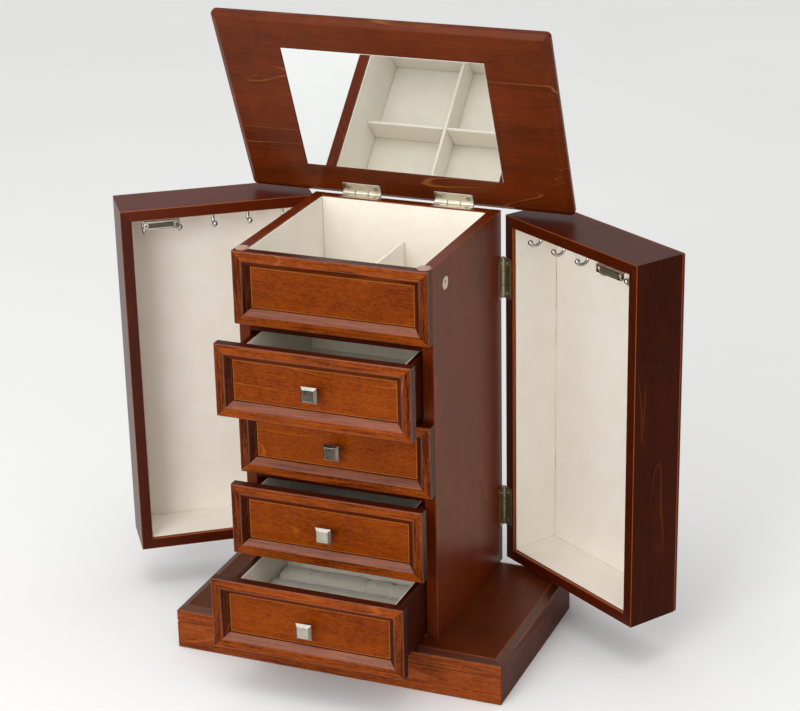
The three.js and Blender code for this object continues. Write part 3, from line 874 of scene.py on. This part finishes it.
def swollen(bm, held, reach, frames=20):
    """A closed cover blown up as cloth. Held points stay, and no other moves further than reach."""
    cover = mesh_object("cover", bm.copy())
    group = cover.vertex_groups.new(name="held")
    group.add([v.index for v in cover.data.vertices if held(v.co)], 1.0, "REPLACE")
    cloth = cover.modifiers.new("Fill", "CLOTH")
    for key, value in STUFFED.items():
        setattr(cloth.settings, key, value)
    cloth.settings.effector_weights.gravity = 0
    cloth.settings.vertex_group_mass = group.name
    cloth.collision_settings.use_collision = False
    cloth.point_cache.frame_end = frames
    for number in range(1, frames + 1):
        scene.frame_set(number)
    for vertex, moved in zip(bm.verts, shape_of(cover).vertices):
        step = moved.co - vertex.co
        vertex.co += step * min(1, reach / max(step.length, 1e-9))
    discard(cover)
    scene.frame_set(1)
    return bm


def roll(low, high, stations=56, around=30):
    """One roll: a round top on a flat foot, drawn in at both ends by the cover's seams."""
    half_y, height = (high[1] - low[1]) / 2, high[2] - low[2]
    middle = (low[1] + high[1]) / 2
    rings = []
    for s in range(stations + 1):
        t = s / stations
        x = low[0] + (high[0] - low[0]) * t
        end = min(t, 1 - t) * (high[0] - low[0])
        drawn_in = 0.34 * exp(-end / (1.6 * MM))
        seam = 0.05 * exp(-(((end - 4 * MM) / (0.9 * MM)) ** 2))
        shrink = 1 - drawn_in - seam
        ring = []
        for k in range(around):
            angle = 2 * pi * k / around
            across, up = cos(angle), sin(angle)
            power = 0.62 if up < 0 else 0.86
            y = copysign(abs(across) ** power, across) * half_y
            z = copysign(abs(up) ** power, up) * height / 2
            ring.append(Vector((x, middle + y * shrink, low[2] + height / 2 + z * shrink)))
        rings.append(ring)
    return loft(rings)


# ---- Compartment ----

DIVIDER = {"half": 1.6 * MM, "cross_y": 6.5 * MM, "top": 345.5 * MM, "round": 1.35 * MM}


def compartment():
    """Covered cards round the compartment, and a cross of dividers with round tops."""
    low, high = closed_box("compartment_insert")
    wall, floor = 1.0 * MM, 1.2 * MM
    half, top = DIVIDER["half"], DIVIDER["top"]
    parts = lined_tray(low, high, wall, floor, 0.4 * MM)
    rows = [((-half, half), (low.y + wall, high.y - wall))]
    inner_x = high.x - wall - 0.1 * MM
    across = (DIVIDER["cross_y"] - half, DIVIDER["cross_y"] + half)
    for x in ((-inner_x, -half - 0.05 * MM), (half + 0.05 * MM, inner_x)):
        rows.append((x, across))
    for x, y in rows:
        parts.append(covered_card(x, y, (low.z + floor, top), DIVIDER["round"]))
    add_piece("compartment_velour", merged(parts), CREAM, "compartment_insert")


# ---- Lid ----

# Insets from the lid's edge, with the drop from its top or the rise from its underside.
LID_TOP = profile_mm((2.2, 0), (1.2, 0.3), (0.4, 1.0), (0, 2.2))
LID_FOOT = profile_mm((0, 3.4), (0.3, 2.9), (4.5, 0.4), (5.0, 0.1), (5.8, 0))
LID_CORNER = 4.5 * MM
LID_RECESS = 3 * MM


def lid():
    """A moulded board with a recess for the mirror, relieved where the hinge barrels turn."""
    low, high = closed_box("lid_board")
    mirror_low, mirror_high = closed_box("lid_mirror")
    margin = 0.3 * MM
    profile = [(inset, high.z - drop) for inset, drop in LID_TOP]
    profile += [(inset, low.z + rise) for inset, rise in LID_FOOT]
    rings = []
    for inset, z in profile:
        near, _, far, _ = rectangle(low, high, inset)
        rings.append(round_ring(near, far, max(LID_CORNER - inset, 0.8 * MM), z))
    for depth, grow in ((0, 0.3 * MM), (0.3 * MM, 0), (LID_RECESS, 0)):
        near, _, far, _ = rectangle(mirror_low, mirror_high, -margin - grow)
        rings.append(round_ring(near, far, 0.5 * MM + grow, low.z + depth))
    slab = loft(rings)
    pin = PINS["lid"]
    barrels = []
    for side in SIDES:
        leaf_low, leaf_high = closed_box(f"{side}_lid_hinge_fixed_leaf")
        start = Vector((leaf_low.x - 0.3 * MM, pin.y, pin.z))
        length = leaf_high.x - leaf_low.x + 0.6 * MM
        barrels.append(turned([(2.5 * MM, 0), (2.5 * MM, length)], axes(start, Y, Z, X)))
    slab = with_grain(carve(slab, barrels), "x")
    add_piece("lid_panel", slab, LID, "lid_board")
    glass = bevelled(block(mirror_low, mirror_high), 0.5 * MM, segments=2)
    add_piece("lid_mirror_glass", glass, MIRROR, "lid_mirror")


# ---- Doors ----

DOOR_WALL = 10 * MM
DOOR_SHADES = {"left": (0.1, 0, 0.5, 0), "right": (0.1, 0, 0.1, -0.1)}
# Slots of DOOR. The right door's outer sides, but for the top one, get a duller and darker copy of
# the wood: painted shade.
BRIGHT = {2: 1}
DULL_SHADED = {0: 2, 2: 1}
DOOR_STRIPS = {"left": [BRIGHT] * 4, "right": [DULL_SHADED, DULL_SHADED, BRIGHT, DULL_SHADED]}


def door(side):
    """A deep tray: four mitred boards, an outer panel and covered cards inside."""
    name, sign = f"{side}_door", SIDES[side]
    low, high = closed_box(f"{name}_frame")
    panel_low, panel_high = closed_box(f"{name}_panel")
    rim, rear = (low.x, high.x) if sign > 0 else (high.x, low.x)
    depth = abs(rear - rim)
    section = [(0, depth), (0, 0), (DOOR_WALL, 0), (DOOR_WALL, depth)]
    corners = [Vector((rim, y, z)) for y, z in rectangle(low.yz, high.yz)]
    radii = {1: 0.5 * MM, 2: 0.35 * MM}
    strips, shades = DOOR_STRIPS[side], DOOR_SHADES[side]
    boards = mitred_frame(corners, X * sign, section, radii, "yzyz", strips, shades)
    boards = carve(merged(boards), door_mortises(side))
    add_piece(f"{name}_boards", boards, DOOR, f"{name}_frame")
    seam = 0.25 * MM
    if sign > 0:
        panel_low.x -= seam
    else:
        panel_high.x += seam
    panel = board(panel_low, panel_high, "z", 0.8 * MM)
    add_piece(f"{name}_outer_panel", panel, DOOR, f"{name}_panel")
    door_lining(side)


def door_mortises(side):
    """The recesses for the moving leaves, a clearance larger all round."""
    clear = Vector((0.4 * MM, 0.3 * MM, 0.3 * MM))
    cuts = []
    for level in ("upper", "lower"):
        low, high = closed_box(f"{side}_door_{level}_hinge_moving_leaf")
        cuts.append(block(low - clear, high + clear))
    return cuts


def door_lining(side):
    """Cards on the door's four walls and on the panel behind them."""
    name, sign = f"{side}_door", SIDES[side]
    low, high = closed_box(f"{name}_lining")
    thick, seam = 1.0 * MM, 0.08 * MM
    back = (high.x - thick, high.x) if sign > 0 else (low.x, low.x + thick)
    walls = (low.x, high.x - thick - seam) if sign > 0 else (low.x + thick + seam, high.x)
    inner_z = (low.z + thick + seam, high.z - thick - seam)
    edge = 0.4 * MM
    _, y, z = zip(low, high)
    parts = [
        covered_card(back, y, z, edge, grid=9 * MM, swell=0.35 * MM),
        covered_card(walls, y, (low.z, low.z + thick), edge),
        covered_card(walls, y, (high.z - thick, high.z), edge),
    ]
    for near in (low.y, high.y - thick):
        parts.append(covered_card(walls, (near, near + thick), inner_z, edge))
    add_piece(f"{name}_velour", merged(parts), CREAM, f"{name}_lining")


HOOK_COUNT = 5
HOOK_SHANK = 20 * MM
HOOK_TIP = 8 * MM
HOOK_WIRE = 1.6 * MM
HOOK_END = 6 * MM
HOOK_RISE = 4 * MM
HOOK_BALL = 2.5 * MM
HOOK_FOOT = profile_mm((3.0, 0), (2.9, 0.7), (2.0, 1.4), (1.4, 1.8))
HOOK_STRIP = (6.4 * MM, 1.2 * MM)


def hooks(side):
    """Plated cup hooks: a round foot, a straight shank, a shallow bend and a ball on the tip.
    Shank and tip are measured from the door's rim."""
    name, sign = f"{side}_door", SIDES[side]
    low, high = closed_box(f"{side}_hook_rail")
    rim = closed_box(f"{name}_frame")[0 if sign > 0 else 1].x
    shank, tip = rim + sign * HOOK_SHANK, rim + sign * HOOK_TIP
    bend = abs(shank - tip) / 2
    bottom = low.z + HOOK_WIRE
    pitch = (high.y - low.y - 2 * HOOK_END) / (HOOK_COUNT - 1)
    width, thickness = HOOK_STRIP
    underside = high.z - thickness
    strip = block((shank - width / 2, low.y, underside), (shank + width / 2, high.y, high.z))
    parts = [bevelled(strip, 0.4 * MM)]
    for i in range(HOOK_COUNT):
        y = low.y + HOOK_END + pitch * i
        path = [Vector((shank, y, high.z - 0.6 * MM)), Vector((shank, y, bottom + bend))]
        for k in range(1, 13):
            angle = radians(15 * k)
            x = (shank + tip) / 2 + sign * bend * cos(angle)
            rise = bend if k < 6 else HOOK_RISE
            path.append(Vector((x, y, bottom + rise * (1 - sin(angle)))))
        parts.append(tube(path, HOOK_WIRE, Y))
        parts.append(turned(HOOK_FOOT, axes(Vector((shank, y, underside)), X, -Y, -Z)))
        ball = bmesh.new()
        bmesh.ops.create_uvsphere(ball, u_segments=20, v_segments=12, radius=HOOK_BALL)
        parts.append(carried(ball, Matrix.Translation((tip, y, bottom + HOOK_RISE))))
    add_piece(f"{name}_hooks", merged(parts), CHROME, f"{side}_hook_rail")


LUG = {
    "width": 4.6 * MM,
    "depth": 1.0 * MM,
    "screw": profile_mm((1.9, -0.2), (1.9, 0.2), (1.7, 0.4), (1.15, 0.4), (1.05, 0)),
}


def magnet_catch(side):
    """A magnet between two steel plates, with a screwed lug across each end."""
    sign = SIDES[side]
    low, high = closed_box(f"{side}_magnet_catch")
    plate, inset = 1.5 * MM, 0.5 * MM
    lip = 0.5 * MM * sign
    parts = []
    for z in (low.z, high.z - plate):
        parts.append(bevelled(block((low.x, low.y, z), (high.x, high.y, z + plate)), 0.3 * MM))
    magnet = bevelled(block(
        (low.x + inset + lip / 2, low.y + 1.2 * MM, low.z + plate + 0.05 * MM),
        (high.x - inset + lip / 2, high.y - 1.2 * MM, high.z - plate - 0.05 * MM),
    ), 0.3 * MM)
    for face in magnet.faces:
        face.material_index = 1
    parts.append(magnet)
    rim, out = low.x if sign > 0 else high.x, X * -sign
    for end, way in ((low.y, 1), (high.y, -1)):
        near, far = sorted((end, end + way * LUG["width"]))
        inner, outer = sorted((rim, rim - out.x * LUG["depth"]))
        lug = block((inner, near, low.z + 0.2 * MM), (outer, far, high.z - 0.2 * MM))
        parts.append(bevelled(lug, 0.35 * MM))
        centre = Vector((rim, (near + far) / 2, (low.z + high.z) / 2))
        screw = turned(LUG["screw"], axes(centre, Y, out.cross(Y), out), 16)
        screw.faces.ensure_lookup_table()
        # The hollow centre of the screw head gets the dark ferrite: painted shade.
        screw.faces[-1].material_index = 1
        parts.append(screw)
    made = merged(parts)
    add_piece(f"{side}_door_catch", made, STEEL, f"{side}_magnet_catch")


# ---- Hinges and small fittings ----


SCREW = {"radius": 2.0 * MM, "rise": 0.25 * MM, "sunk": 0.5 * MM}
SCREW_CROSS = {"arm": 1.24 * MM, "slit": 0.64 * MM}
SCREW_STEPS = 24


def cross_ring(size, height):
    """The outline of a screw's cross recess: four arms with square ends."""
    half = SCREW_CROSS["slit"] / 2
    points = []
    for i in range(SCREW_STEPS):
        angle = 2 * pi * i / SCREW_STEPS
        turn = round(angle / (pi / 2)) * pi / 2
        slope = tan(angle - turn)
        reach = min(SCREW_CROSS["arm"], max(half, half / max(abs(slope), 1e-6)))
        point = Matrix.Rotation(turn, 3, "Z") @ Vector((reach, reach * slope, 0)) * size
        points.append(point + Z * height)
    return points


def screw_head(place):
    """A countersunk head with a cross recess, whose axis is place's Z."""
    radius, rise, sunk = SCREW["radius"], SCREW["rise"], SCREW["sunk"]
    rings = [
        circle(0.7 * radius, -sunk, SCREW_STEPS),
        circle(radius, 0.02 * MM, SCREW_STEPS),
        circle(0.8 * radius, 0.7 * rise, SCREW_STEPS),
        cross_ring(1.0, rise),
        cross_ring(0.8, rise - sunk),
    ]
    return carried(loft(rings), place)


LEAF = {
    "corner": 1.3 * MM,
    "chamfer": 0.15 * MM,
    "gap": 0.5 * MM,
    "rim": 0.25 * MM,
    "screws_along": 0.37,
    "screws_across": 0.56,
}
PIN_HEAD = profile_mm((1.1, 0), (1.1, 0.3), (0.7, 0.55))


def leaf(length, radius, reach, near, far, own):
    """One leaf of a butt hinge about a pin along X: the leaf reaches towards -Y, from near to far
    in height. own lists the knuckles that belong to it, counted along the pin."""
    chamfer, gap, rim = LEAF["chamfer"], LEAF["gap"], LEAF["rim"]
    rings = []
    for inset, z in ((chamfer, near), (0, near + chamfer), (0, far - chamfer), (chamfer, far)):
        corner_low = (-length / 2 + inset, -reach + inset)
        rings.append(round_ring(corner_low, (length / 2 - inset, -0.3 * MM), LEAF["corner"], z))
    parts = [loft(rings)]
    pitch = length / 3
    span = pitch - gap
    profile = [(radius - rim, 0), (radius, rim), (radius, span - rim), (radius - rim, span)]
    for k in own:
        start = -length / 2 + pitch * k + gap / 2
        parts.append(turned(profile, axes(X * start, Y, Z, X), 28))
        strip = block((start + rim, -1.4 * MM, near), (start + span - rim, 0, far))
        parts.append(bevelled(strip, 0.1 * MM))
    if len(own) > 1:
        for end in (-1, 1):
            place = axes(X * end * (length / 2 - 0.2 * MM), Y, Z * end, X * end)
            parts.append(turned(PIN_HEAD, place, 16))
    towards_pin, face = (1, far) if near + far < 0 else (-1, near)
    for end in (-1, 1):
        seat = Vector((end * length * LEAF["screws_along"], -reach * LEAF["screws_across"], face))
        screw = screw_head(axes(seat, X, Y * towards_pin, Z * towards_pin))
        for facet in screw.faces:
            facet.material_index = 1
        parts.append(screw)
    return merged(parts)


# fixed and moving are the heights of a leaf's two faces over the pin. Slot 1 is the screws' metal.
HINGES = {
    "door": {
        "radius": 2.2 * MM,
        "fixed": (-1.3 * MM, -0.3 * MM),
        "moving": (0.3 * MM, 1.3 * MM),
        "metals": [OLD_NICKEL, STEEL[0]],
    },
    "lid": {
        "radius": 2.0 * MM,
        "fixed": (-2.1 * MM, -1.1 * MM),
        "moving": (0.1 * MM, 0.9 * MM),
        "metals": [NICKEL, PEWTER[2]],
    },
}


def hinge_pair(hinge, node, u, v, w):
    """Both leaves of a hinge. Its pin runs along u, its leaves reach towards -v, w lies across."""
    pin = PINS[BODY_OF[f"{node}_moving_leaf"]]
    for kind, own in (("fixed", (0, 2)), ("moving", (1,))):
        full = f"{node}_{kind}_leaf"
        low, high = closed_box(full)
        centre = (low + high) / 2
        length = abs((high - low).dot(u))
        origin = pin + u * (centre - pin).dot(u)
        reach = max(-(low - origin).dot(v), -(high - origin).dot(v))
        near, far = hinge[kind]
        made = leaf(length, hinge["radius"], reach, near, far, own)
        placed = carried(made, axes(origin, u, v, w))
        add_piece(f"{node}_{kind}", placed, hinge["metals"], full)


def hinges():
    for side, sign in SIDES.items():
        hinge_pair(HINGES["lid"], f"{side}_lid_hinge", X, Y, Z)
        out = X * sign
        for level in ("upper", "lower"):
            hinge_pair(HINGES["door"], f"{side}_door_{level}_hinge", Y.cross(out), Y, out)


STRIKE_NAIL = profile_mm((2.4, 0.72), (2.2, 1.0), (1.2, 1.35), (0.4, 1.45))


def strike_disc(side):
    """A thin disc with a rolled edge, held by a domed nail."""
    sign = SIDES[side]
    low, high = closed_box(f"{side}_strike_disc")
    centre = (low + high) / 2
    root = low.x if sign > 0 else high.x
    seat = Vector((root - sign * 0.25 * MM, centre.y, centre.z))
    place = axes(seat, Y, Z * sign, X * sign)
    radius = (high.z - low.z) / 2
    rim = [
        (radius, 0),
        (radius, 0.7 * MM),
        (radius - 0.25 * MM, 0.95 * MM),
        (radius - 0.8 * MM, 0.8 * MM),
    ]
    made = turned(rim + STRIKE_NAIL, place, 40)
    add_piece(f"{side}_strike", made, STEEL, f"{side}_strike_disc")


def lid_bumper(side):
    """A low domed pad on the front corner."""
    low, high = closed_box(f"{side}_lid_bumper")
    centre = (low + high) / 2
    radius, height = (high.x - low.x) / 2, high.z - low.z
    profile = [(radius, 0), (radius, height * 0.3), (radius * 0.97, height * 0.55)]
    for k in range(1, 6):
        angle = radians(15 * k + 15)
        profile.append((radius * cos(angle) * 1.05, height * (0.45 + 0.5 * sin(angle))))
    place = Matrix.Translation(Vector((centre.x, centre.y, low.z - 0.1 * MM)))
    made = turned(profile, place, 40)
    add_piece(f"{side}_lid_pad", made, BUMPER, f"{side}_lid_bumper")


# ---- Studio ----


def look_from(position, azimuth, elevation, roll, lens):
    """A camera turned by angles: azimuth 0 looks along +Y, and roll turns the picture."""
    a, e, r = (radians(d) for d in (azimuth, elevation, roll))
    ahead = Vector((-sin(a) * cos(e), cos(a) * cos(e), -sin(e)))
    level = Vector((cos(a), sin(a), 0))
    upright = level.cross(ahead)
    right = level * cos(r) + upright * sin(r)
    up = upright * cos(r) - level * sin(r)
    data = bpy.data.cameras.new("camera")
    data.lens = lens
    data.sensor_width = 36
    camera = in_scene("camera", data)
    camera.matrix_world = axes(Vector(position), right, up, -ahead)
    scene.camera = camera


def soft_light(name, position, target, size, power):
    data = bpy.data.lights.new(name, "AREA")
    data.shape = "RECTANGLE"
    data.size, data.size_y = size
    data.energy = power
    light = in_scene(name, data)
    light.location = position
    light.rotation_euler = (Vector(target) - Vector(position)).to_track_quat("-Z", "Y").to_euler()


ROOM_BRIGHT_WAY = (-0.3, -0.75, 0.6)
ROOM_FACING = (-0.4, 0.7)
ROOM_STRENGTH = (0.5, 0.95)


def surroundings():
    """A room that is bright above and in front of the object, and dim behind it."""
    world = bpy.data.worlds.new("studio")
    world.use_nodes = True
    nodes, links = world.node_tree.nodes, world.node_tree.links
    place = nodes.new("ShaderNodeTexCoord")
    facing = nodes.new("ShaderNodeVectorMath")
    facing.operation = "DOT_PRODUCT"
    facing.inputs[1].default_value = Vector(ROOM_BRIGHT_WAY).normalized()
    ramp = nodes.new("ShaderNodeMapRange")
    ramp.interpolation_type = "SMOOTHSTEP"
    for socket, value in zip(ramp.inputs[1:5], (*ROOM_FACING, *ROOM_STRENGTH)):
        socket.default_value = value
    links.new(place.outputs["Generated"], facing.inputs[0])
    links.new(facing.outputs["Value"], ramp.inputs["Value"])
    links.new(ramp.outputs["Result"], nodes["Background"].inputs["Strength"])
    nodes["Background"].inputs["Color"].default_value = (1, 1, 1, 1)
    scene.world = world


def studio():
    """A pale floor under soft light from the front, a little to the left, and from above."""
    bm = bmesh.new()
    bmesh.ops.create_grid(bm, x_segments=4, y_segments=4, size=12)
    floor = mesh_object("floor", bm)
    look = Shading("floor_paint", Roughness=0.8, Specular_IOR_Level=0.2)
    cloud = look.noise(look.place(), 3, detail=2)
    floor.data.materials.append(look.finish(look.mix(cloud, srgb("ededec"), srgb("f3f3f2"))))
    surroundings()
    middle = (0, 0, 0.22)
    soft_light("key", (-0.25, -2.35, 1.1), middle, (1.2, 1.2), 29)
    soft_light("top", (0.0, -0.4, 2.4), middle, (1.3, 1.3), 10)
    scene.view_settings.view_transform = "Standard"


EYE = (0.73025, -1.69587, 0.99084)
look_from(EYE, azimuth=22.47, elevation=21.43, roll=-1.26, lens=102.475)
studio()
base()
cabinet_boards()
front("top_front")
for drawer in DRAWERS:
    front(f"{drawer}_front")
    drawer_box(drawer)
    drawer_lining(drawer)
    knob(drawer)
ring_rolls()
compartment()
lid()
hinges()
for side in SIDES:
    door(side)
    hooks(side)
    magnet_catch(side)
    strike_disc(side)
    lid_bumper(side)
